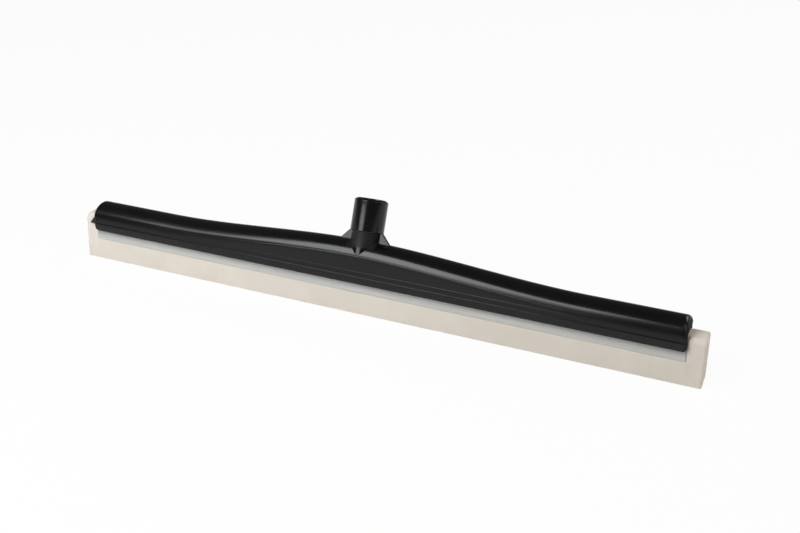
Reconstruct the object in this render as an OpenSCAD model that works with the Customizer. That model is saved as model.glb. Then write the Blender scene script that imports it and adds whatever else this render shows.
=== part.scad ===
// Floor squeegee: a moulded bar with a handle socket, and a slide-in cassette that holds a folded foam blade.
// Millimetres. X runs along the blade, Y from front to back, Z up from the floor.
// The origin is on the floor, under the middle of the whole object.

/* [Blade] */
// Length of the foam blade, end to end
blade_l = 606.4; // [400:0.2:900]
// Free thickness of the blade over both lips
blade_w = 21.2; // [18:0.2:26]
// Height of the blade's folded top above the floor
blade_h = 43; // [38:0.5:50]
// Gap between the two lips
lip_gap = 4.2; // [3:0.2:6]
// Foam thickness over the fold
fold_t = 8; // [5:0.5:10]
// Corner radius of the folded top
fold_r = 5; // [2:0.5:7]

/* [Cassette] */
// Length of the cassette and of the bar
bar_l = 577; // [370:1:870]
// Squeeze of the foam on each side inside the cassette
pinch = 1.1; // [0.6:0.1:2]
// Wall thickness of the cassette
cas_wall = 1.3; // [1:0.1:2.2]
// Height of the cassette's lower edge above the floor
strip_z = 21.5; // [16:0.5:28]
// Height of the part of the cassette that shows below the bar
strip_h = 9.5; // [6:0.5:14]
// Height of the thicker lower lip on the cassette
rim_h = 5; // [2:0.5:8]
// How far the lower lip stands out
rim_out = 0.3; // [0.1:0.1:0.8]
// Thickness of the cassette's roof
roof_t = 1.6; // [1.2:0.1:2.5]
// Height of the slide flange above the blade's folded top
flange_up = 2.5; // [2:0.1:5]
// Width of each slide flange
flange_w = 1.6; // [1.2:0.1:2.4]
// Thickness of each slide flange
flange_t = 1.6; // [1.2:0.1:2.4]
// Sliding clearance on each side of the cassette
slide_gap = 0.35; // [0.2:0.05:0.6]

/* [Bar] */
// Radius of the bar's round top
top_r = 15.5; // [14.5:0.1:20]
// Height of the bar's round top above the groove, at its ends
top_h = 12.7; // [10:0.1:15]
// Rise of the bar's top at the middle
swell_h = 10.7; // [0:0.1:16]
// Half length of the rise
swell_l = 205; // [120:5:260]
// Height of the groove above the band
groove_h = 5.6; // [3:0.1:8]
// Wall of the lower band
band_t = 2.65; // [1.8:0.05:3.5]
// Wall behind the groove at its foot
groove_t = 2.1; // [1.8:0.05:2.5]
// How much deeper the groove is at its top
groove_in = 1.4; // [0:0.1:1.4]
// Thickness of the ledge that carries the slide flange
ledge_t = 1.8; // [1.4:0.1:2.4]
// Length of the stops that close the slot's sides at the left end
stop_t = 2.5; // [1.5:0.1:4]
// Edge radius of the bar's ends
end_r = 2; // [1:0.1:2.4]
// Edge radius of the bar's ends over its crown
crown_r = 3; // [1:0.1:4]
// Corner radius of the lower band's ends
band_r = 3; // [1:0.1:5]
// Length of the pointed tabs at the closed end
tab_l = 6.2; // [2:0.1:8]
// Height of the pointed tabs at their root
tab_h = 7.6; // [4:0.1:8]
// Half width of the hollows above the slot
hollow_y = 9.5; // [6:0.1:10]
// Depth of the hollows above the slot
hollow_h = 3.7; // [2:0.1:4]
// Spacing of the cross ribs between the hollows
rib_pitch = 48; // [30:1:80]
// Thickness of the cross ribs
rib_t = 3; // [2:0.1:5]

/* [Socket] */
// Backward lean of the handle socket
lean = 21.6; // [0:0.1:40]
// Depth of the socket's foot below the bar's crest
axis_drop = 6.9; // [4:0.1:10]
// Distance of the socket's foot behind the blade's middle
axis_y = 1.3; // [-2:0.1:4]
// Outer diameter of the socket sleeve
sleeve_d = 30; // [28:0.1:40]
// Length of the socket sleeve
sleeve_l = 28.8; // [20:0.1:60]
// Length of the neck from the bar's axis to the sleeve
neck_l = 15; // [8:0.1:30]
// Step from the sleeve to the neck
neck_step = 1.85; // [0.2:0.05:2.2]
// Growth of the neck's radius down to its foot
neck_flare = 0.25; // [0:0.05:1]
// Diameter of the handle bore
bore_d = 24.4; // [20:0.1:32]
// Depth of the handle bore
bore_l = 33; // [25:0.5:45]
// Height of the bevel round the socket's mouth
rim_c = 1.5; // [0.5:0.1:3]
// Width of the flat ring left round the mouth
rim_flat = 0.4; // [0.3:0.1:1.5]
// Lead-in at the mouth of the bore
lead_c = 0.2; // [0.1:0.05:0.25]
// Thickness of the side gussets
gusset_t = 2.8; // [2:0.1:6]
// Reach of the side gussets along the bar
gusset_x = 7.7; // [5:0.1:20]
// Height of the side gussets above the bar
gusset_h = 8.3; // [5:0.1:20]
// Reach of the side gussets up the sleeve
gusset_up = 1; // [0:0.1:4]

/* [Hidden] */
$fn = 96;
eps = 0.02;

half_l = bar_l / 2;
cas_in = blade_w / 2 - pinch;
cas_out = cas_in + cas_wall;
chan_y = cas_out + slide_gap;
band_z = strip_z + strip_h;
band_y = chan_y + band_t;
groove_y = chan_y + groove_t;

flange_z0 = blade_h + flange_up;
flange_z1 = flange_z0 + flange_t;
slot_z0 = flange_z0 - slide_gap / 2;
slot_z1 = flange_z1 + slide_gap / 2;
lip_z = slot_z0 - ledge_t;
groove_z = lip_z - groove_h;
flange_y = cas_out + flange_w;
slot_y = flange_y + slide_gap;
roof_z = blade_h;

top_z = lip_z + top_h;
arc_z = top_z - top_r;
arc_a = asin((lip_z + 1 - arc_z) / top_r);
arc_n = 14;

axis_z = top_z + swell_h - axis_drop;
rim_s = neck_l + sleeve_l;

// Reach of the object to the front and to the back of the blade's middle
front_y = top_r * cos(arc_a);
back_y = axis_y + (rim_s - rim_c) * sin(lean) + sleeve_d / 2 * cos(lean);
mid_y = (back_y - front_y) / 2;

// Smooth rise of the bar's top, full at the middle and gone at swell_l
function rise(x) = abs(x) >= swell_l ? 0 : swell_h * ease(1 - abs(x) / swell_l);
function ease(u) = u * u * (3 - 2 * u);

// Inset of a rounded edge of radius r at distance s from the end
function inset(r, s) = s >= r ? 0 : s <= 0 ? r : r - sqrt(r * r - (r - s) * (r - s));

// Left half of the bar's outline below the arc, from the bottom edge up
function side(d, e) = [
    [-(band_y - 0.5), band_z + e],
    [-band_y, band_z + e + 0.5],
    [-band_y, groove_z - 0.4],
    [-(band_y - 0.4), groove_z],
    [-groove_y, groove_z],
    [-(groove_y - groove_in), lip_z],
    [-(front_y - d - 0.4), lip_z],
    [-(front_y - d), lip_z + 0.5]
];

// Round top of the bar, from the front flank over to the back
function arc(d, c, up) = [
    for (i = [0:arc_n])
        let (a = 180 - arc_a - i * (180 - 2 * arc_a) / arc_n)
            [(top_r - d) * cos(a), arc_z + up + (top_r - c * (sin(a) - sin(arc_a)) / (1 - sin(arc_a))) * sin(a)]
];

function flip(p) = [for (i = [len(p) - 1:-1:0]) [-p[i][0], p[i][1]]];

function outline(d, c, e, up) = concat(side(d, e), arc(d, c, up), flip(side(d, e)));

// Stations along the bar, as distance from the middle; the last one is past the end and is cut off
ends = [-1, 0, 0.2, 0.7, 1.6, 3.6];
swell_n = 12;
half_x = concat(
    [for (i = [swell_n:-1:1]) swell_l * (1 - i / swell_n)],
    [swell_l],
    [for (i = [len(ends) - 1:-1:0]) half_l - ends[i]]
);
full_x = concat([for (i = [len(half_x) - 1:-1:1]) -half_x[i]], half_x);

// Solid bar skinned through its outlines
module bar_skin() {
    rows = [
        for (x = full_x)
            let (s = half_l - abs(x))
                [
                    for (p = outline(inset(end_r, s), inset(crown_r, s), inset(band_r, s), rise(x)))
                        [x, p[0], p[1]]
                ]
    ];
    n = len(rows[0]);
    m = len(rows);
    points = [for (r = rows) for (p = r) p];
    walls = [
        for (i = [0:m - 2])
            for (j = [0:n - 1])
                let (k = (j + 1) % n)
                    each [
                        [i * n + j, i * n + k, (i + 1) * n + k],
                        [i * n + j, (i + 1) * n + k, (i + 1) * n + j]
                    ]
    ];
    caps = [
        [for (j = [n - 1:-1:0]) j],
        [for (j = [0:n - 1]) (m - 1) * n + j]
    ];
    polyhedron(points = points, faces = concat(walls, caps), convexity = 8);
}

// Frame of the handle socket: its own Z runs up the handle
module on_socket() {
    translate([0, axis_y, axis_z])
        rotate([-lean, 0, 0])
            children();
}

// Neck and sleeve with softened edges
module socket_outer() {
    sr = sleeve_d / 2;
    nr = sr - neck_step;
    rotate_extrude()
        polygon([
            [0, -8],
            [nr + neck_flare, -8],
            [nr, neck_l],
            [sr - 0.3, neck_l],
            [sr, neck_l + 0.3],
            [sr, rim_s - rim_c],
            [bore_d / 2 + rim_flat, rim_s],
            [0, rim_s]
        ]);
}

// Handle bore with a lead-in at its mouth
module socket_bore() {
    translate([0, 0, rim_s - bore_l])
        cylinder(d = bore_d, h = bore_l + 1);
    translate([0, 0, rim_s - lead_c])
        cylinder(d1 = bore_d, d2 = bore_d + 4 * lead_c, h = 2 * lead_c);
}

// Side gussets between the sleeve and the bar's top, in the plane of the socket's axis
module gussets() {
    sr = sleeve_d / 2;
    top = neck_l + gusset_up;
    deep = 1.3;
    translate([0, gusset_t / 2, 0])
        rotate([90, 0, 0])
            linear_extrude(height = gusset_t)
                polygon([
                    [-sr - deep * gusset_x, top - deep * gusset_h],
                    [-sr, top],
                    [-sr + 0.5, top + 0.5],
                    [sr - 0.5, top + 0.5],
                    [sr, top],
                    [sr + deep * gusset_x, top - deep * gusset_h]
                ]);
}

// Pointed tabs that carry the groove wall past the closed end
module end_tabs() {
    for (s = [-1, 1])
        translate([0, s * (groove_y - groove_t / 2) + groove_t / 2 - 0.1, 0])
            rotate([90, 0, 0])
                linear_extrude(height = groove_t - 0.2)
                    polygon([
                        [-half_l + 2, groove_z - 0.5],
                        [-half_l, groove_z - 0.5],
                        [-half_l - tab_l, groove_z - 0.2],
                        [-half_l, groove_z + tab_h],
                        [-half_l + 2, groove_z + tab_h]
                    ]);
}

// Square ends of the bar
module end_cuts() {
    for (s = [-1, 1])
        translate([s * (half_l + 5) - 5, -2 * top_r, 0])
            cube([10, 4 * top_r, 2 * top_z]);
}

// Channel, slide slot and ribbed hollows cut up into the bar from below
module bar_cuts() {
    translate([-half_l - 10, -chan_y, band_z - 10])
        cube([bar_l + 20, 2 * chan_y, slot_z1 - band_z + 10]);
    translate([-half_l + stop_t, -slot_y, slot_z0])
        cube([bar_l + 10, 2 * slot_y, slot_z1 - slot_z0]);
    count = floor((bar_l - 2 * stop_t - 12) / rib_pitch);
    for (i = [0:count - 1])
        translate([(i - (count - 1) / 2) * rib_pitch - (rib_pitch - rib_t) / 2, -hollow_y, slot_z1 - eps])
            cube([rib_pitch - rib_t, 2 * hollow_y, hollow_h + eps]);
}

// Moves a piece from the blade's middle plane to the object's frame
module framed() {
    translate([0, -mid_y, 0])
        children();
}

// Black moulded bar with its fixed handle socket
module squeegee_body() {
    color([0.05, 0.05, 0.055])
        framed()
            difference() {
                union() {
                    difference() {
                        bar_skin();
                        end_cuts();
                    }
                    on_socket() {
                        socket_outer();
                        gussets();
                    }
                    end_tabs();
                }
                bar_cuts();
                on_socket()
                    socket_bore();
            }
}

// Outline of the cassette, seen along the blade
module cassette_outline() {
    for (s = [0, 1])
        mirror([s, 0]) {
            translate([cas_in, strip_z])
                square([cas_wall, flange_z1 - strip_z]);
            translate([cas_in, strip_z])
                square([cas_wall + rim_out, rim_h]);
            translate([cas_in, flange_z0])
                square([cas_wall + flange_w, flange_t]);
        }
    translate([-cas_in - eps, roof_z])
        square([2 * (cas_in + eps), roof_t]);
}

// Grey cassette with flanges that slide in the bar's slot
module cassette_channel() {
    color([0.72, 0.72, 0.70])
        framed()
            difference() {
                rotate([90, 0, 90])
                    translate([0, 0, -half_l])
                        linear_extrude(height = bar_l)
                            cassette_outline();
                translate([-half_l - 5, -flange_y - 5, slot_z0 - slide_gap / 2])
                    cube([5 + stop_t + slide_gap / 2, 2 * flange_y + 10, flange_t + slide_gap + 5]);
            }
}

// Outline of the folded foam at one half width, with its inner fold
module foam_outline(w, low) {
    difference() {
        union() {
            translate([-w, low])
                square([2 * w, blade_h - fold_r - low]);
            translate([-w + fold_r, blade_h - fold_r - eps])
                square([2 * (w - fold_r), fold_r + eps]);
            for (s = [-1, 1])
                translate([s * (w - fold_r), blade_h - fold_r])
                    circle(r = fold_r);
        }
        translate([-lip_gap / 2, low - 1])
            square([lip_gap, blade_h - fold_t - lip_gap / 2 - low + 1]);
        translate([0, blade_h - fold_t - lip_gap / 2])
            circle(d = lip_gap);
    }
}

// Free lips below the cassette, with a small shoulder
module lips_outline() {
    w = blade_w / 2;
    for (s = [0, 1])
        mirror([s, 0])
            polygon([
                [lip_gap / 2, 0.6],
                [lip_gap / 2 + 0.6, 0],
                [w - 0.6, 0],
                [w, 0.6],
                [w, strip_z - 1.2],
                [w - 0.8, strip_z - 0.4],
                [cas_in, strip_z - 0.4],
                [cas_in, strip_z + eps],
                [lip_gap / 2, strip_z + eps]
            ]);
}

// Cream foam strip folded into two wiping lips
module foam_blade() {
    over = (blade_l - bar_l) / 2 - 1;
    color([0.87, 0.84, 0.78])
        framed() {
            rotate([90, 0, 90])
                translate([0, 0, -blade_l / 2])
                    linear_extrude(height = blade_l)
                        lips_outline();
            rotate([90, 0, 90])
                translate([0, 0, -half_l - 1 - eps])
                    linear_extrude(height = bar_l + 2 + 2 * eps)
                        foam_outline(cas_in, strip_z);
            for (x = [-blade_l / 2, blade_l / 2 - over])
                rotate([90, 0, 90])
                    translate([0, 0, x])
                        linear_extrude(height = over)
                            foam_outline(blade_w / 2, strip_z - 1.3);
        }
}

// Stiff strip inside the fold that keeps the lips apart
module blade_core() {
    core_z = strip_z + 2;
    color([0.45, 0.46, 0.47])
        framed()
            rotate([90, 0, 90])
                translate([0, 0, -half_l + 1])
                    linear_extrude(height = bar_l - 2)
                        translate([-lip_gap / 2, core_z])
                            square([lip_gap, blade_h - fold_t - lip_gap / 2 - core_z]);
}

squeegee_body();
cassette_channel();
foam_blade();
blade_core();
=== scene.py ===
"""Floor squeegee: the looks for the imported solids. Sizes are in millimetres, and Blender gets metres."""

import math

import bmesh
import bpy
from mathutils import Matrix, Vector, noise


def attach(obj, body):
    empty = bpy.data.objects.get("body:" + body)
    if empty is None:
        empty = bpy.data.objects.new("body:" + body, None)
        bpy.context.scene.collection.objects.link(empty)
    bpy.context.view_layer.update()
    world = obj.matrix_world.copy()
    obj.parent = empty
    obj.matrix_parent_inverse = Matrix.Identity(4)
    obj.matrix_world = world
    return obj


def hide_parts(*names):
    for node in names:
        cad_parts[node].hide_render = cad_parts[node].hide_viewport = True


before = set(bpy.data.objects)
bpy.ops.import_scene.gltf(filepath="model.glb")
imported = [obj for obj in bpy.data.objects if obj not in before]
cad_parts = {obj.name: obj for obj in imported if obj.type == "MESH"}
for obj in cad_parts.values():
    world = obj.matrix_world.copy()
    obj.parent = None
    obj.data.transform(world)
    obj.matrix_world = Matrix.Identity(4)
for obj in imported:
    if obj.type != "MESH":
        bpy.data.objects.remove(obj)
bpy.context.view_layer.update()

# Folded blade: length, width and height, gap between the lips, thickness and radius of the fold
BLADE_L, BLADE_W, BLADE_H = 606.4, 21.2, 43.0
LIP_GAP, FOLD_T, FOLD_R = 4.2, 8.0, 5.0

# Cassette: pinch on the foam, wall and play, grey strip with its rim, roof and flanges
PINCH, CAS_WALL, SLIDE_GAP = 1.1, 1.3, 0.35
STRIP_Z, STRIP_H, RIM_H, RIM_OUT = 21.5, 9.5, 5.0, 0.3
ROOF_T, FLANGE_UP, FLANGE_W, FLANGE_T = 1.6, 2.5, 1.6, 1.6

# Bar: length, crown that swells at the middle, straight flank below it, groove, band, ledge and stops
BAR_L = 577.0
TOP_R, TOP_H, SWELL_H, SWELL_L, FLANK_H = 15.5, 12.7, 10.7, 205.0, 1.0
GROOVE_H, BAND_T, GROOVE_T, GROOVE_IN, LEDGE_T, STOP_T = 5.6, 2.65, 2.1, 1.4, 1.8, 2.5

# Edge radii at the bar's ends, pointed tabs at its left end, and hollows between ribs inside it
END_R, CROWN_R, BAND_R, TAB_L, TAB_H = 2.0, 3.0, 3.0, 6.2, 7.6
HOLLOW_Y, HOLLOW_H, RIB_PITCH, RIB_T, HOLLOW_ENDS = 9.5, 3.7, 48.0, 3.0, 12.0

# Handle socket: lean and place of its axis, sleeve, neck and its depth in the bar, bore and mouth, gussets
LEAN = math.radians(21.6)
AXIS_DROP, AXIS_Y = 6.9, 1.3
SLEEVE_D, SLEEVE_L, NECK_L, NECK_STEP, NECK_FLARE, NECK_DEEP = 30.0, 28.8, 15.0, 1.85, 0.25, 8
BORE_D, BORE_L, RIM_C, RIM_FLAT, LEAD_C = 24.4, 33.0, 1.5, 0.4, 0.2
GUSSET_T, GUSSET_X, GUSSET_H, GUSSET_UP = 2.8, 7.7, 8.3, 1.0

# The crown's round front goes down to this angle, and runs straight to the lip from there
FLAT_A = math.radians(24.5)

# Fine ridge on the lip, and fillet at the neck's foot with its longest reach
RIDGE_IN, RIDGE_UP = 0.28, 0.42
FILLET_R, FILLET_REACH = 1.4, 3.0

# Bar's open end: how far the crown leans in, over which length, and its softer edges
OPEN_LEAN, OPEN_REACH, OPEN_END_R, OPEN_CROWN_R = 1.8, 9.0, 3.0, 4.5

# Share of that lean down the full height of the back, and where across the bar and how softly it starts
OPEN_BACK, OPEN_BACK_Y, OPEN_BACK_W = 0.8, -4, 12

# How far the cassette's flange is trimmed back there, and the height over which the trim grows
FLANGE_TRIM, TRIM_H = 2.4, 5

# Foam's left end: swelling of the fold, slant, radii of its top, of the swollen fold and of its edges
FOLD_SWELL, END_SLANT, END_TOP_R, END_FOLD_R, END_EDGE_R = 3.4, 3.0, 2.0, 6.0, 0.8

# Foam's right end: edge radius, skew, and where across the foam and how softly the skew starts
CUT_R, CUT_SKEW, CUT_SKEW_Y, CUT_SKEW_W = 1.8, 0.9, -4, 10

# Length of foam that the slant and the skew move, and share of an end's edge radius on each face
END_REACH, EDGE_SHARE = 10, 0.6

# Start and length, past the cassette's ends, of the foam's bulge, of its way out of the pinch and, at
# the left end, of the swelling of its fold
BULGE_START, BULGE_L = 0.04, 0.8
FREE_START, FREE_L = 0.3, 3.5
FOLD_START, FOLD_L = 0.3, 2.2

# Gentle waves of the foam: height, and length along the blade, on the faces and under the lips
FACE_WAVE, FACE_WAVE_L = 0.14, 55
LIP_WAVE, LIP_WAVE_L = 0.10, 70

# How far the pinched foam stands out and drops below the cassette
PINCH_OUT, PINCH_TOP_OUT, PINCH_DROP = 0.40, 0.28, 0.12

# Roughness of the bar, the neck, the sleeve and the bar's open end
BAR_ROUGH = (0.16, 0.22)
NECK_ROUGH, SLEEVE_ROUGH, OPEN_ROUGH = 0.53, 0.21, 0.85

# Places between which one finish turns into the next: up the neck's foot, across the neck to the
# gussets, up the step to the sleeve, and back from the bar's open end
FOOT_FADE, SIDE_FADE, STEP_FADE, OPEN_FADE = (-1, 3), (13.4, 14.0), (-0.2, 0.3), (2.6, 1.0)

# Photograph's width and focal length in pixels; the camera's sensor and place, and its angles in degrees
IMAGE_W, FOCAL, SENSOR = 800, 1111, 36
CAMERA_AT, CAMERA_DOWN, CAMERA_TURN = (410.12, -795.14, 457.6), 24.89, 25.24

# Half the floor's size in metres, its grey, its share of white where it is seen, and the world's level
FLOOR_HALF, FLOOR_GREY, FLOOR_WHITE, WORLD_LEVEL = 40.0, 0.7, 0.95, 0.12

# Point that the lamps face, in metres, and the lamps' colours
LAMP_AIM = Vector((0, 0, 0.04))
COOL, WARM, PALE = (0.97, 0.985, 1.0), (1.0, 0.93, 0.86), (1.0, 0.97, 0.94)

# Sizes that follow from these
HALF_L = BAR_L / 2
CAS_IN = BLADE_W / 2 - PINCH
CAS_OUT = CAS_IN + CAS_WALL
CHAN_Y = CAS_OUT + SLIDE_GAP
BAND_Z = STRIP_Z + STRIP_H
BAND_Y = CHAN_Y + BAND_T
GROOVE_Y = CHAN_Y + GROOVE_T
FLANGE_Z0 = BLADE_H + FLANGE_UP
FLANGE_Z1 = FLANGE_Z0 + FLANGE_T
SLOT_Z0 = FLANGE_Z0 - SLIDE_GAP / 2
SLOT_Z1 = FLANGE_Z1 + SLIDE_GAP / 2
FLANGE_Y = CAS_OUT + FLANGE_W
SLOT_Y = FLANGE_Y + SLIDE_GAP
LIP_Z = SLOT_Z0 - LEDGE_T
GROOVE_Z = LIP_Z - GROOVE_H
TOP_Z = LIP_Z + TOP_H
ARC_Z = TOP_Z - TOP_R
ARC_A = math.asin((LIP_Z + FLANK_H - ARC_Z) / TOP_R)
FRONT_Y = TOP_R * math.cos(ARC_A)
AXIS_Z = TOP_Z + SWELL_H - AXIS_DROP
RIM_S = NECK_L + SLEEVE_L
SLEEVE_R = SLEEVE_D / 2
BORE_R = BORE_D / 2
BACK_Y = AXIS_Y + (RIM_S - RIM_C) * math.sin(LEAN) + SLEEVE_R * math.cos(LEAN)
MID_Y = (BACK_Y - FRONT_Y) / 2
SOCKET_AXIS = Vector((0, math.sin(LEAN), math.cos(LEAN)))


# Places and curves


def place(x, y, z):
    """Millimetres about the blade's middle plane to metres in the object's frame."""
    return Vector((x, y - MID_Y, z)) / 1000


def on_socket(x, v, s):
    """Millimetres in the socket's own frame, with s up the handle, to metres in the object's frame."""
    y = AXIS_Y + s * math.sin(LEAN) + v * math.cos(LEAN)
    z = AXIS_Z + s * math.cos(LEAN) - v * math.sin(LEAN)
    return place(x, y, z)


def socket_point(r, angle, s):
    """A point round the socket's own axis, at height s above its foot."""
    return on_socket(r * math.cos(angle), r * math.sin(angle), s)


def ease(u):
    """Smooth step from 0 to 1."""
    u = min(1.0, max(0.0, u))
    return u * u * (3 - 2 * u)


def rise(x):
    """How far the crown swells up at a place along the bar."""
    return SWELL_H * ease(1 - abs(x) / SWELL_L)


def neck_r(s):
    """Radius of the neck, which grows down to its foot."""
    return SLEEVE_R - NECK_STEP + NECK_FLARE * (NECK_L - s) / (NECK_L + NECK_DEEP)


def inset(r, s):
    """Inset of an edge of radius r, at distance s from the end."""
    if s >= r:
        return 0.0
    if s <= 0:
        return r
    return r - math.sqrt(r * r - (r - s) ** 2)


def rounded(corners, steps=4):
    """A closed outline from corners (y, z, radius); a corner with a radius becomes an arc."""
    # Share of the room between two corners that arcs may take, and the half angle above which a corner
    # is nearly straight and gets a soft curve of at least this reach instead
    arc_share = 0.96
    straight, straight_reach = math.radians(80), 0.2
    out = []
    n = len(corners)
    for i, (y, z, r) in enumerate(corners):
        p = Vector((y, z))
        if r <= 0:
            out.append((y, z))
            continue
        a = Vector(corners[i - 1][:2]) - p
        b = Vector(corners[(i + 1) % n][:2]) - p
        half = a.angle(b) / 2
        before, after = corners[i - 1][2], corners[(i + 1) % n][2]
        room = arc_share * min(a.length * r / (r + before), b.length * r / (r + after))
        reach = min(r / math.tan(half), room)
        a.normalize()
        b.normalize()
        if half > straight:
            reach = min(max(reach, straight_reach), room)
            for k in range(steps + 1):
                t = k / steps
                out.append(tuple(p + a * reach * (1 - t) ** 2 + b * reach * t * t))
            continue
        centre = p + (a + b).normalized() * (reach / math.cos(half))
        start, end = p + a * reach - centre, p + b * reach - centre
        sweep_angle = start.angle_signed(end)
        for k in range(steps + 1):
            t = -sweep_angle * k / steps
            cos_t, sin_t = math.cos(t), math.sin(t)
            v = Vector((start.x * cos_t - start.y * sin_t, start.x * sin_t + start.y * cos_t))
            out.append(tuple(centre + v))
    return out


def bend(before, corner, after, reach, steps=4):
    """Points of a soft corner that starts and ends at most half way to its neighbours."""
    p = Vector(corner)
    a, b = Vector(before) - p, Vector(after) - p
    start = p + a.normalized() * min(reach, a.length / 2)
    end = p + b.normalized() * min(reach, b.length / 2)
    out = []
    for k in range(steps + 1):
        t = k / steps
        out.append(tuple(start * (1 - t) ** 2 + p * (2 * t * (1 - t)) + end * t * t))
    return out


def box(x0, x1, z0, z1):
    """Corners of an upright rectangle, for prism."""
    return [(x0, z0), (x1, z0), (x1, z1), (x0, z1)]


# Meshes


def shade_smooth(mesh, sharp_from=35):
    """Smooth shading, apart from edges above an angle in degrees."""
    for p in mesh.polygons:
        p.use_smooth = True
    mesh.set_sharp_from_angle(angle=math.radians(sharp_from))


def new_object(name, bm, body, material, sharp_from=35):
    """An object from bm that rides on a body, or on none."""
    mesh = bpy.data.meshes.new(name)
    bmesh.ops.recalc_face_normals(bm, faces=bm.faces)
    bm.to_mesh(mesh)
    bm.free()
    shade_smooth(mesh, sharp_from)
    obj = bpy.data.objects.new(name, mesh)
    bpy.context.scene.collection.objects.link(obj)
    mesh.materials.append(material)
    if body:
        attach(obj, body)
    return obj


def merge(bm, part):
    """Adds the mesh in part to bm, and frees part."""
    temp = bpy.data.meshes.new("part")
    part.to_mesh(temp)
    part.free()
    bm.from_mesh(temp)
    bpy.data.meshes.remove(temp)


def cut(obj, bm):
    """Takes the solid in bm away from obj's mesh."""
    mesh = bpy.data.meshes.new("cutter")
    bmesh.ops.recalc_face_normals(bm, faces=bm.faces)
    bm.to_mesh(mesh)
    bm.free()
    cutter = bpy.data.objects.new("cutter", mesh)
    bpy.context.scene.collection.objects.link(cutter)
    mod = obj.modifiers.new("cut", "BOOLEAN")
    mod.operation, mod.solver, mod.object = "DIFFERENCE", "EXACT", cutter
    bpy.context.view_layer.update()
    made = bpy.data.meshes.new_from_object(obj.evaluated_get(bpy.context.evaluated_depsgraph_get()))
    obj.modifiers.clear()
    old, obj.data = obj.data, made
    bpy.data.meshes.remove(old)
    bpy.data.objects.remove(cutter)
    bpy.data.meshes.remove(mesh)


def sweep(bm, stations, outline):
    """Skins outlines (y, z) or (y, z, shift along X), one for each X, and closes both ends."""
    rows = []
    for x in stations:
        rows.append([bm.verts.new(place(x + sum(dx), y, z)) for y, z, *dx in outline(x)])
    n = len(rows[0])
    for a, b in zip(rows, rows[1:]):
        for j in range(n):
            k = (j + 1) % n
            bm.faces.new((a[j], a[k], b[k], b[j]))
    bm.faces.new(rows[0][::-1])
    bm.faces.new(rows[-1])


def lathe(bm, profile, turns=96):
    """Turns a profile of (radius, height) round the socket's axis; both ends lie on the axis."""
    rings = []
    for r, s in profile:
        if r == 0:
            rings.append([bm.verts.new(socket_point(0, 0, s))])
        else:
            angles = [2 * math.pi * i / turns for i in range(turns)]
            rings.append([bm.verts.new(socket_point(r, a, s)) for a in angles])
    for a, b in zip(rings, rings[1:]):
        for i in range(turns):
            k = (i + 1) % turns
            if len(a) == 1:
                bm.faces.new((a[0], b[k], b[i]))
            elif len(b) == 1:
                bm.faces.new((a[i], a[k], b[0]))
            else:
                bm.faces.new((a[i], a[k], b[k], b[i]))


def prism(bm, points, y0, y1, bevel=0.0, at=place):
    """A plate with an outline (x, z), from y0 to y1; a bevel softens its edges."""
    part = bmesh.new()
    front = [part.verts.new(at(x, y0, z)) for x, z in points]
    back = [part.verts.new(at(x, y1, z)) for x, z in points]
    n = len(points)
    part.faces.new(front)
    part.faces.new(back[::-1])
    for i in range(n):
        k = (i + 1) % n
        part.faces.new((front[i], back[i], back[k], front[k]))
    bmesh.ops.recalc_face_normals(part, faces=part.faces)
    if bevel:
        soften(part, bevel)
    merge(bm, part)


def soften(part, bevel):
    """Rounds a plate's edges; an inset rim keeps the shading of its large faces flat."""
    large_area, lit_lower_rim = 4e-6, 0.0002
    edges = part.edges[:]
    bmesh.ops.bevel(part, geom=edges, offset=bevel / 1000, segments=3, affect="EDGES", profile=0.5)
    flats = [f for f in part.faces if f.calc_area() > large_area]
    bmesh.ops.inset_individual(part, faces=flats, thickness=lit_lower_rim)


# Materials


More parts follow.
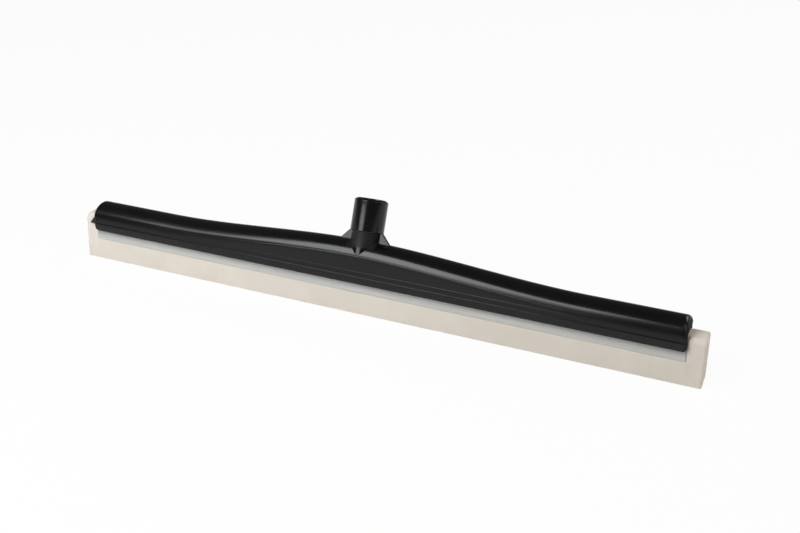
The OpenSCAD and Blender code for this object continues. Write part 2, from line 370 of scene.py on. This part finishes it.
class Nodes:
    """Short way to build a node material."""

    def __init__(self, name):
        self.material = bpy.data.materials.new(name)
        self.material.use_nodes = True
        self.tree = self.material.node_tree
        self.shader = self.tree.nodes["Principled BSDF"]
        self.coords = self.add("ShaderNodeTexCoord").outputs["Object"]

    def add(self, kind, **values):
        node = self.tree.nodes.new(kind)
        for key, value in values.items():
            if key in node.inputs:
                node.inputs[key].default_value = value
            else:
                setattr(node, key, value)
        return node

    def link(self, out, into):
        self.tree.links.new(out, into)

    def feed(self, value, socket):
        """Links an output to a socket, or sets a constant on it."""
        if hasattr(value, "is_output"):
            self.link(value, socket)
        else:
            socket.default_value = value

    def set(self, **values):
        for key, value in values.items():
            self.feed(value, self.shader.inputs[key.replace("_", " ")])

    def noise(self, scale, detail, roughness, stretch=None):
        node = self.add("ShaderNodeTexNoise", Scale=scale, Detail=detail, Roughness=roughness)
        if stretch:
            mapping = self.add("ShaderNodeMapping", Scale=stretch)
            self.link(self.coords, mapping.inputs["Vector"])
            self.link(mapping.outputs["Vector"], node.inputs["Vector"])
        else:
            self.link(self.coords, node.inputs["Vector"])
        return node.outputs["Fac"]

    def ramp(self, fac, *stops):
        node = self.add("ShaderNodeValToRGB")
        for element, (position, colour) in zip(node.color_ramp.elements, stops):
            element.position = position
            element.color = (*colour, 1.0)
        self.link(fac, node.inputs["Fac"])
        return node.outputs["Color"]

    def spread(self, fac, low, high):
        """Stretches 0 to 1 to low to high."""
        node = self.add("ShaderNodeMapRange")
        node.inputs["To Min"].default_value = low
        node.inputs["To Max"].default_value = high
        self.link(fac, node.inputs["Value"])
        return node.outputs["Result"]

    def along(self, direction, start, end, curve="SMOOTHSTEP"):
        """0 to 1 between two places along a direction, in millimetres from the object's origin."""
        distance = self.add("ShaderNodeVectorMath", operation="DOT_PRODUCT")
        distance.inputs[1].default_value = direction
        self.link(self.coords, distance.inputs[0])
        node = self.add("ShaderNodeMapRange", interpolation_type=curve)
        node.inputs["From Min"].default_value = start / 1000
        node.inputs["From Max"].default_value = end / 1000
        self.link(distance.outputs["Value"], node.inputs["Value"])
        return node.outputs["Result"]

    def mix(self, factor, a, b):
        node = self.add("ShaderNodeMix", data_type="FLOAT")
        self.feed(factor, node.inputs["Factor"])
        self.feed(a, node.inputs["A"])
        self.feed(b, node.inputs["B"])
        return node.outputs["Result"]

    def bump(self, height, strength, distance, before=None):
        node = self.add("ShaderNodeBump", Strength=strength, Distance=distance)
        self.link(height, node.inputs["Height"])
        if before is not None:
            self.link(before, node.inputs["Normal"])
        return node.outputs["Normal"]


def body_roughness(m, flow):
    """Glossy bar, dull neck, glossy sleeve and dull open end."""
    foot = place(0, AXIS_Y, AXIS_Z).dot(SOCKET_AXIS) * 1000
    step = foot + NECK_L
    at_neck = m.along(SOCKET_AXIS, foot + FOOT_FADE[0], foot + FOOT_FADE[1])
    rough = m.mix(at_neck, m.spread(flow, *BAR_ROUGH), NECK_ROUGH)
    for side in (-1, 1):
        beside_neck = m.along((side, 0, 0), *SIDE_FADE)
        rough = m.mix(beside_neck, rough, m.spread(flow, *BAR_ROUGH))
    at_sleeve = m.along(SOCKET_AXIS, step + STEP_FADE[0], step + STEP_FADE[1])
    rough = m.mix(at_sleeve, rough, SLEEVE_ROUGH)
    at_end = m.along((1, 0, 0), HALF_L - OPEN_FADE[0], HALF_L - OPEN_FADE[1])
    return m.mix(at_end, rough, OPEN_ROUGH)


def body_plastic():
    m = Nodes("body_plastic")
    wide = m.noise(scale=28, detail=4, roughness=0.6)
    grain = m.noise(scale=2600, detail=2, roughness=0.5)
    flow = m.noise(scale=160, detail=3, roughness=0.6, stretch=(0.25, 1.0, 1.0))
    dark, light = (0.0024, 0.0024, 0.0026), (0.0036, 0.0036, 0.0039)
    m.set(Base_Color=m.ramp(wide, (0.3, dark), (0.7, light)))
    m.set(Roughness=body_roughness(m, flow))
    m.set(Specular_IOR_Level=0.3)
    flowing = m.bump(flow, strength=0.05, distance=0.0003)
    m.set(Normal=m.bump(grain, strength=0.10, distance=0.0001, before=flowing))
    return m.material


def cassette_plastic():
    m = Nodes("cassette_plastic")
    streak = m.noise(scale=220, detail=4, roughness=0.6, stretch=(0.06, 1.0, 1.0))
    grain = m.noise(scale=3000, detail=2, roughness=0.5)
    dark, light = (0.325, 0.323, 0.310), (0.37, 0.368, 0.352)
    # Painted shade and light: the strip's grey is multiplied by 0.97 under the bar's band, where the
    # band's shade falls, and this grows linearly to 1.3 from just above the rim's top to 3 mm below it, as
    # if the lower rim caught more of the lamps
    rim_z, above, below = STRIP_Z + RIM_H, 1.2, 3.0
    lit_lower_rim = m.along((0, 0, 1), rim_z + above, rim_z - below, curve="LINEAR")
    painted_light_tint = m.add("ShaderNodeMix", data_type="RGBA", blend_type="MULTIPLY")
    painted_light_tint.inputs["Factor"].default_value = 1.0
    m.link(m.ramp(streak, (0.3, dark), (0.7, light)), painted_light_tint.inputs[6])
    m.link(m.spread(lit_lower_rim, low=0.97, high=1.30), painted_light_tint.inputs[7])
    m.set(Base_Color=painted_light_tint.outputs[2])
    m.set(Roughness=m.spread(streak, low=0.42, high=0.55))
    streaky = m.bump(streak, strength=0.08, distance=0.0002)
    m.set(Normal=m.bump(grain, strength=0.06, distance=0.0001, before=streaky))
    return m.material


def blade_foam():
    m = Nodes("blade_foam")
    wide = m.noise(scale=35, detail=5, roughness=0.6)
    fine = m.noise(scale=900, detail=4, roughness=0.65)
    cells = m.add("ShaderNodeTexVoronoi", Scale=1500)
    m.link(m.coords, cells.inputs["Vector"])
    dark, light = (0.575, 0.525, 0.461), (0.63, 0.579, 0.51)
    m.set(Base_Color=m.ramp(wide, (0.25, dark), (0.75, light)))
    m.set(Roughness=0.92)
    m.set(Specular_IOR_Level=0.25)
    m.set(Subsurface_Weight=0.12)
    m.set(Subsurface_Radius=(1.0, 0.7, 0.45))
    m.set(Subsurface_Scale=0.0015)
    pores = m.bump(cells.outputs["Distance"], strength=0.16, distance=0.0004)
    grainy = m.bump(fine, strength=0.12, distance=0.0004, before=pores)
    m.set(Normal=m.bump(wide, strength=0.10, distance=0.002, before=grainy))
    return m.material


def core_plastic():
    m = Nodes("core_plastic")
    streak = m.noise(scale=260, detail=4, roughness=0.6, stretch=(0.05, 1.0, 1.0))
    dark, light = (0.10, 0.105, 0.11), (0.14, 0.145, 0.15)
    m.set(Base_Color=m.ramp(streak, (0.3, dark), (0.7, light)))
    m.set(Roughness=m.spread(streak, low=0.5, high=0.65))
    m.set(Normal=m.bump(streak, strength=0.1, distance=0.0002))
    return m.material


# Black moulded body


def bar_outline(x):
    """The bar's cross-section at x, with edges that draw in at both ends."""
    from_end = HALF_L - abs(x)
    side_in = inset(OPEN_END_R if x > 0 else END_R, from_end)
    crown_in = inset(OPEN_CROWN_R if x > 0 else CROWN_R, from_end)
    band_z = BAND_Z + inset(BAND_R, from_end)
    lip = FRONT_Y - side_in

    # A point a little up the groove's bottom keeps the shading of its foot narrow
    near_foot = 0.1
    left = [
        (-CHAN_Y, band_z, 0.25),
        (-BAND_Y, band_z, 0.6),
        (-BAND_Y, GROOVE_Z, 0.16),
        (-GROOVE_Y, GROOVE_Z, 0.1),
        (-GROOVE_Y + near_foot * GROOVE_IN, GROOVE_Z + near_foot * GROOVE_H, 0),
        (-GROOVE_Y + GROOVE_IN, LIP_Z, 0.15),
        (-lip, LIP_Z, 0.06),
        (-lip + RIDGE_IN, LIP_Z + RIDGE_UP, 0.1),
    ]
    crown_z = ARC_Z + rise(x)
    crown_n = 44
    crown = []
    for i in range(crown_n + 1):
        a = math.pi - FLAT_A - i * (math.pi - 2 * FLAT_A) / crown_n
        lower = crown_in * (math.sin(a) - math.sin(ARC_A)) / (1 - math.sin(ARC_A))
        crown.append(((TOP_R - side_in) * math.cos(a), crown_z + (TOP_R - lower) * math.sin(a), 0))
    right = [(-y, z, r) for y, z, r in left[::-1]]
    slot_r = 0.2
    inside = [
        (CHAN_Y, SLOT_Z0, slot_r),
        (SLOT_Y, SLOT_Z0, slot_r),
        (SLOT_Y, SLOT_Z1, slot_r),
        (-SLOT_Y, SLOT_Z1, slot_r),
        (-SLOT_Y, SLOT_Z0, slot_r),
        (-CHAN_Y, SLOT_Z0, slot_r),
    ]
    outline = rounded(left + crown + right + inside)
    near = (x - HALF_L + OPEN_REACH) / OPEN_REACH
    if near < 0:
        return outline
    leaning = []
    for y, z in outline:
        up_share = min(1.0, (z - LIP_Z) / TOP_H)
        back_share = OPEN_BACK * ease((y - OPEN_BACK_Y) / OPEN_BACK_W)
        leaning.append((y, z, -OPEN_LEAN * near * max(up_share, back_share)))
    return leaning


def bar_stations():
    """Places of the cross-sections: even over the swelling, sparse beside it and dense at the ends."""
    swell_n = 50
    beside = [225, 250, 270]
    from_end = [7.0, 5.0, 4.0, 3.1, 2.3, 1.65, 1.15, 0.75, 0.42, 0.2, 0.06, 0]
    swelling = [SWELL_L * i / swell_n for i in range(swell_n + 1)]
    half = swelling + beside + [HALF_L - v for v in from_end]
    return [-v for v in half[:0:-1]] + half


def bar_top(x, y):
    """Height of the bar's round top."""
    return ARC_Z + rise(x) + math.sqrt(max(0.0, TOP_R**2 - y * y))


def neck_foot(angle):
    """Where a line down the neck's side first meets the bar, as height along the socket's axis."""

    def inside(s):
        p = socket_point(neck_r(s), angle, s) * 1000
        y = p.y + MID_Y
        return abs(y) < TOP_R and p.z < bar_top(p.x, y)

    high, step, halvings = 20.0, 0.1, 30
    while not inside(high - step):
        high -= step
        if high < -NECK_DEEP:
            return high
    low = high - step
    for _ in range(halvings):
        s = (low + high) / 2
        low, high = (s, high) if inside(s) else (low, s)
    return (low + high) / 2


def on_bar(p):
    """The nearest point of the bar's round top, straight across the bar."""
    q = p * 1000
    mid = ARC_Z + rise(q.x)
    v = Vector((q.y + MID_Y, q.z - mid)).normalized() * TOP_R
    return place(q.x, v.x, v.y + mid)


def bar_normal(p):
    """The bar's outward direction at a point of its round top."""
    step = 0.1
    q = p * 1000
    slope = (rise(q.x + step) - rise(q.x - step)) / (2 * step)
    up = Vector((0, q.y + MID_Y, q.z - ARC_Z - rise(q.x))).normalized()
    return (up - Vector((slope * up.z, 0, 0))).normalized()


def neck_fillet(bm, turns=144, steps=6):
    """Small moulded fillet where the neck meets the bar."""
    rows = []
    for i in range(turns):
        angle = 2 * math.pi * i / turns
        s = neck_foot(angle)
        corner = socket_point(neck_r(s), angle, s)
        out = (corner - socket_point(0, 0, s)).normalized()
        normal = bar_normal(corner)
        along = (out * SOCKET_AXIS.dot(normal) - SOCKET_AXIS * out.dot(normal)).normalized()
        half = SOCKET_AXIS.angle(along) / 2
        reach = min(FILLET_R / math.tan(half), FILLET_REACH)
        top = socket_point(neck_r(s + reach), angle, s + reach)
        foot = on_bar(corner + along * reach / 1000)
        row = []
        for k in range(steps + 1):
            t = k / steps
            row.append(bm.verts.new(top * (1 - t) ** 2 + corner * (2 * t * (1 - t)) + foot * t * t))
        rows.append(row)
    for i in range(turns):
        a, b = rows[i], rows[(i + 1) % turns]
        for k in range(steps):
            bm.faces.new((a[k], b[k], b[k + 1], a[k + 1]))


def add_socket(bm):
    """Neck, sleeve, bevelled mouth and blind bore, as one profile over the rim to the bore's floor."""
    neck_top = SLEEVE_R - NECK_STEP
    bore_foot = RIM_S - BORE_L
    below_rim = (SLEEVE_R, RIM_S - 6)
    rim_outer = (SLEEVE_R, RIM_S - RIM_C)
    rim_top = (BORE_R + RIM_FLAT, RIM_S)
    lead_top = (BORE_R + LEAD_C, RIM_S)
    lead_foot = (BORE_R, RIM_S - LEAD_C)
    neck = [
        (0, -NECK_DEEP),
        (neck_r(-NECK_DEEP), -NECK_DEEP),
        (neck_r(4), 4),
        (neck_top, NECK_L - 0.5),
    ]
    step = [
        (neck_top + 0.08, NECK_L - 0.2),
        (neck_top + 0.3, NECK_L),
        (SLEEVE_R - 0.6, NECK_L),
        (SLEEVE_R - 0.25, NECK_L + 0.1),
        (SLEEVE_R - 0.05, NECK_L + 0.35),
        (SLEEVE_R, NECK_L + 0.7),
        below_rim,
    ]
    mouth = bend(below_rim, rim_outer, rim_top, reach=0.5)
    mouth += bend(rim_outer, rim_top, lead_top, reach=0.25)
    mouth += bend(rim_top, lead_top, lead_foot, reach=0.12)
    bore = [
        (BORE_R, RIM_S - LEAD_C - 0.3),
        (BORE_R, bore_foot + 0.6),
        (BORE_R - 0.2, bore_foot + 0.15),
        (BORE_R - 0.7, bore_foot),
        (0, bore_foot),
    ]
    lathe(bm, neck + step + mouth + bore)


def add_gussets(bm):
    """One web through the neck, whose two ends are the gussets; they run on into the bar."""
    deeper, into_neck, over_top = 1.3, 0.5, 0.6
    top = NECK_L + GUSSET_UP
    end_x, end_z = SLEEVE_R + deeper * GUSSET_X, top - deeper * GUSSET_H
    neck_x, neck_z = SLEEVE_R - into_neck, top + over_top
    web = [(-end_x, end_z), (-neck_x, neck_z), (neck_x, neck_z), (end_x, end_z)]
    prism(bm, web, -GUSSET_T / 2, GUSSET_T / 2, bevel=0.35, at=on_socket)


def add_tabs(bm):
    """Pointed tabs that carry on the groove's walls at the left end."""
    root, low, tip_low, thinner = 2, 0.5, 0.2, 0.1
    end_x, foot_z, top_z = -HALF_L, GROOVE_Z - low, GROOVE_Z + TAB_H
    tip = (end_x - TAB_L, GROOVE_Z - tip_low)
    tab = [(end_x + root, foot_z), (end_x, foot_z), tip, (end_x, top_z), (end_x + root, top_z)]
    half_t = GROOVE_T / 2
    for side in (-1, 1):
        mid_y = side * (GROOVE_Y - half_t)
        prism(bm, tab, mid_y - half_t + thinner, mid_y + half_t - thinner, bevel=0.2)


def add_stops(bm):
    """Blocks that close the slot's sides at the left end, sunk a little into the walls."""
    back, into_roof, into_side = 0.4, 0.4, 0.3
    stop = box(-HALF_L + back, -HALF_L + STOP_T, SLOT_Z0, SLOT_Z1 + into_roof)
    prism(bm, stop, CHAN_Y, SLOT_Y + into_side)
    prism(bm, stop, -SLOT_Y - into_side, -CHAN_Y)


def hollow_cutter():
    """The hollows above the slot, with a rib between each two."""
    through = 1
    hollows = bmesh.new()
    count = int((BAR_L - 2 * STOP_T - HOLLOW_ENDS) // RIB_PITCH)
    half = (RIB_PITCH - RIB_T) / 2
    for i in range(count):
        x = (i - (count - 1) / 2) * RIB_PITCH
        hollow = box(x - half, x + half, SLOT_Z1 - through, SLOT_Z1 + HOLLOW_H)
        prism(hollows, hollow, -HOLLOW_Y, HOLLOW_Y)
    return hollows


def make_body(material):
    bm = bmesh.new()
    sweep(bm, bar_stations(), bar_outline)
    bar = new_object("bar", bm, None, material)
    cut(bar, hollow_cutter())

    extra = bmesh.new()
    add_socket(extra)
    neck_fillet(extra)
    add_gussets(extra)
    add_tabs(extra)
    add_stops(extra)
    bmesh.ops.recalc_face_normals(extra, faces=extra.faces)

    joined = bmesh.new()
    bar_mesh = bar.data
    joined.from_mesh(bar_mesh)
    merge(joined, extra)
    bpy.data.objects.remove(bar)
    bpy.data.meshes.remove(bar_mesh)
    body = new_object("squeegee_body_skin", joined, "body", material)
    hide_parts("squeegee_body")


# Grey cassette


def cassette_outline(x):
    """The cassette's cross-section, with its flange trimmed at the bar's open end."""
    right = [
        (CAS_IN, STRIP_Z, 0.2),
        (CAS_OUT + RIM_OUT, STRIP_Z, 0.15),
        (CAS_OUT + RIM_OUT, STRIP_Z + RIM_H, 0.2),
        (CAS_OUT, STRIP_Z + RIM_H + 0.25, 0.12),
        (CAS_OUT, FLANGE_Z0, 0.2),
        (FLANGE_Y, FLANGE_Z0, 0.25),
        (FLANGE_Y, FLANGE_Z1, 0.25),
        (CAS_IN, FLANGE_Z1, 0.25),
        (CAS_IN, BLADE_H + ROOF_T, 0.25),
    ]
    left = [(-y, z, r) for y, z, r in right[::-1]]
    roof = [(-CAS_IN, BLADE_H, 0.0), (CAS_IN, BLADE_H, 0.0)]
    outline = rounded(right + left + roof)
    at_open_end = x > HALF_L - 0.1
    if not at_open_end:
        return outline
    return [(y, z, -FLANGE_TRIM * ease((z - BLADE_H + TRIM_H) / TRIM_H)) for y, z in outline]


def notch_cutter():
    """Clears the flanges from the stops at the left end."""
    past, high = 5, 8
    x1 = -HALF_L + STOP_T + SLIDE_GAP / 2
    z0 = SLOT_Z0 - SLIDE_GAP / 2
    notch = bmesh.new()
    prism(notch, box(-HALF_L - past, x1, z0, z0 + high), -FLANGE_Y - past, FLANGE_Y + past)
    return notch


def make_cassette(material):
    bm = bmesh.new()
    count = 60
    sweep(bm, [-HALF_L + BAR_L * i / count for i in range(count + 1)], cassette_outline)
    cassette = new_object("cassette_profile", bm, None, material)
    cut(cassette, notch_cutter())
    shade_smooth(cassette.data)
    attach(cassette, "cassette")
    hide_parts("cassette_channel")


# Cream foam blade


def foam_outline(x):
    """The folded foam's cross-section: pinched in the cassette, full past its ends."""
    past_end = abs(x) - HALF_L
    pinched = 1 - ease((past_end - FREE_START) / FREE_L)
    bulge_u = min(1.0, max(0.0, (past_end - BULGE_START) / BULGE_L))
    full_y = BLADE_W / 2
    upper_y = CAS_IN + (full_y - CAS_IN) * math.sqrt(bulge_u * (2 - bulge_u))
    gap_y = LIP_GAP / 2
    front_wave = FACE_WAVE * noise.noise(Vector((x / FACE_WAVE_L, 0.3, 0.0)))
    back_wave = FACE_WAVE * noise.noise(Vector((x / FACE_WAVE_L, 7.3, 0.0)))
    lip_wave = LIP_WAVE * noise.noise(Vector((x / LIP_WAVE_L, 3.1, 0.0)))
    shoulder = STRIP_Z - PINCH_DROP * pinched
    swollen = ease((-x - HALF_L - FOLD_START) / FOLD_L)
    fold_z = BLADE_H + FOLD_SWELL * swollen
    fold_r = FOLD_R + (END_FOLD_R - FOLD_R) * swollen

    def side(wave):
        return [
            (gap_y, 0.02, 0.35),
            (full_y + wave, max(0.0, lip_wave) * 0.5, 0.45),
            (full_y + 0.06 + wave * 0.6, 8.0, 6.0),
            (full_y + PINCH_OUT * pinched, shoulder - 2.4, 2.0),
            (full_y + PINCH_TOP_OUT * pinched, shoulder - 0.3, 0.4),
            (upper_y, shoulder, 0.3),
            (upper_y, fold_z, fold_r),
        ]

    right = side(back_wave)
    left = [(-y, z, r) for y, z, r in side(front_wave)[::-1]]
    slot_z, slot_r = BLADE_H - FOLD_T, gap_y * 0.98
    inner = [(-gap_y, slot_z, slot_r), (gap_y, slot_z, slot_r)]
    return rounded(right + left + inner, steps=6)


def foam_stations():
    """Places of the cross-sections: even in the cassette, dense at its ends and at the foam's ends."""
    even_n, even_l = 70, HALF_L - 2
    from_end = [0.0, 0.06, 0.2, 0.45, 0.8, 1.3, 1.9, 2.6, 3.6, 4.8, 6.2, 8.0]
    past_cassette = [0.0, 0.04, 0.09, 0.18, 0.33, 0.55, 0.8, 1.1, 1.6, 2.2, 2.9, 3.8]
    near_end = [BLADE_L / 2 - v for v in from_end]
    crossing = [HALF_L + v for v in past_cassette]
    inside = [even_l - i * even_l / even_n for i in range(even_n + 1)]
    right = sorted(set(near_end + crossing + inside))
    return [-v for v in right[:0:-1]] + right


def end_shift(x, y, z):
    """How far an end of the foam leans: the right end skews, the left end slants with a round top."""
    near = ease((abs(x) - BLADE_L / 2 + END_REACH) / END_REACH)
    if x > 0:
        return -CUT_SKEW * near * ease((y - CUT_SKEW_Y) / CUT_SKEW_W)
    high = min(END_TOP_R, max(0.0, z - (BLADE_H + FOLD_SWELL - END_TOP_R)))
    turn = END_TOP_R - math.sqrt(END_TOP_R**2 - (0.97 * high) ** 2)
    return near * (END_SLANT * z / BLADE_H + turn)


def soft_outline(x):
    """The foam's cross-section with its ends' edges rounded, and the ends' lean."""
    edge = EDGE_SHARE * inset(CUT_R if x > 0 else END_EDGE_R, BLADE_L / 2 - abs(x))
    gap_y = LIP_GAP / 2
    soft = []
    for y, z in foam_outline(x):
        side = 1 if y > 0 else -1
        across = (abs(y) - gap_y) / (BLADE_W / 2 - gap_y)
        soft_y = side * (abs(y) + edge * (1 - 2 * across))
        soft_z = z + edge * (1 - 2 * z / BLADE_H)
        soft.append((soft_y, soft_z, end_shift(x, y, z)))
    return soft


def make_foam(material):
    bm = bmesh.new()
    sweep(bm, foam_stations(), soft_outline)
    foam = new_object("foam_blade_skin", bm, "cassette", material, sharp_from=40)
    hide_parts("foam_blade")


# Core strip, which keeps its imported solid


def dress_core(material):
    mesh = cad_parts["blade_core"].data
    mesh.materials.clear()
    mesh.materials.append(material)


# Floor, light and camera


def floor_paper():
    """Grey for the light that falls on it, and nearly white where it is seen or mirrored."""
    m = Nodes("floor_paper")
    m.tree.nodes.remove(m.shader)
    diffuse = m.add("ShaderNodeBsdfDiffuse", Color=(FLOOR_GREY, FLOOR_GREY, FLOOR_GREY, 1))
    white = m.add("ShaderNodeEmission", Strength=1.0)
    path = m.add("ShaderNodeLightPath")
    seen = path.outputs["Is Camera Ray"]
    for ray in ("Is Glossy Ray", "Is Transmission Ray"):
        either = m.add("ShaderNodeMath", operation="MAXIMUM")
        m.link(seen, either.inputs[0])
        m.link(path.outputs[ray], either.inputs[1])
        seen = either.outputs[0]
    share = m.add("ShaderNodeMath", operation="MULTIPLY")
    m.link(seen, share.inputs[0])
    share.inputs[1].default_value = FLOOR_WHITE
    mix = m.add("ShaderNodeMixShader")
    m.link(share.outputs[0], mix.inputs["Fac"])
    m.link(diffuse.outputs[0], mix.inputs[1])
    m.link(white.outputs[0], mix.inputs[2])
    m.link(mix.outputs[0], m.tree.nodes["Material Output"].inputs["Surface"])
    return m.material


def make_floor():
    bm = bmesh.new()
    bmesh.ops.create_grid(bm, x_segments=1, y_segments=1, size=FLOOR_HALF)
    floor = new_object("floor", bm, None, floor_paper())


def make_lamp(name, direction, distance, size, watts, colour, mirrored=True):
    """A rectangular lamp in a direction from the object, with metres for distance and size."""
    data = bpy.data.lights.new(name, "AREA")
    data.shape = "RECTANGLE"
    data.size, data.size_y = size
    data.energy = watts
    data.color = colour
    lamp = bpy.data.objects.new(name, data)
    back = Vector(direction).normalized()
    lamp.location = LAMP_AIM + back * distance
    lamp.visible_glossy = mirrored
    lamp.rotation_mode = "QUATERNION"
    lamp.rotation_quaternion = (-back).to_track_quat("-Z", "Y")
    bpy.context.scene.collection.objects.link(lamp)


def make_lamps():
    make_lamp("key", (-0.371, -0.601, 0.708), 1.35, (0.855, 0.70), 16.6, COOL)
    make_lamp("low", (-0.37, -0.90, 0.235), 1.35, (0.66, 0.30), 4.7, COOL)
    make_lamp("top", (0.55, -0.3, 1.0), 1.8, (1.2, 0.9), 3, WARM)
    make_lamp("fill", (0.80, -0.20, 0.566), 1.5, (0.8, 0.8), 2.4, WARM)
    make_lamp("back", (0.55, 0.75, 0.55), 1.8, (1.0, 0.8), 7, PALE)
    make_lamp("end", (1.0, 0.12, 0.22), 1.2, (0.3, 0.3), 2.4, PALE, mirrored=False)


def make_world():
    world = bpy.data.worlds.new("studio")
    bpy.context.scene.world = world
    world.use_nodes = True
    background = world.node_tree.nodes["Background"]
    background.inputs["Color"].default_value = (1, 1, 1, 1)
    background.inputs["Strength"].default_value = WORLD_LEVEL


def make_camera():
    data = bpy.data.cameras.new("camera")
    data.sensor_width = SENSOR
    data.lens = FOCAL / IMAGE_W * SENSOR
    camera = bpy.data.objects.new("camera", data)
    camera.location = place(*CAMERA_AT)
    camera.rotation_euler = (math.radians(90 - CAMERA_DOWN), 0, math.radians(CAMERA_TURN))
    bpy.context.scene.collection.objects.link(camera)
    bpy.context.scene.camera = camera


make_body(body_plastic())
make_cassette(cassette_plastic())
make_foam(blade_foam())
dress_core(core_plastic())
make_floor()
make_world()
make_camera()
make_lamps()
bpy.context.scene.view_settings.view_transform = "Standard"
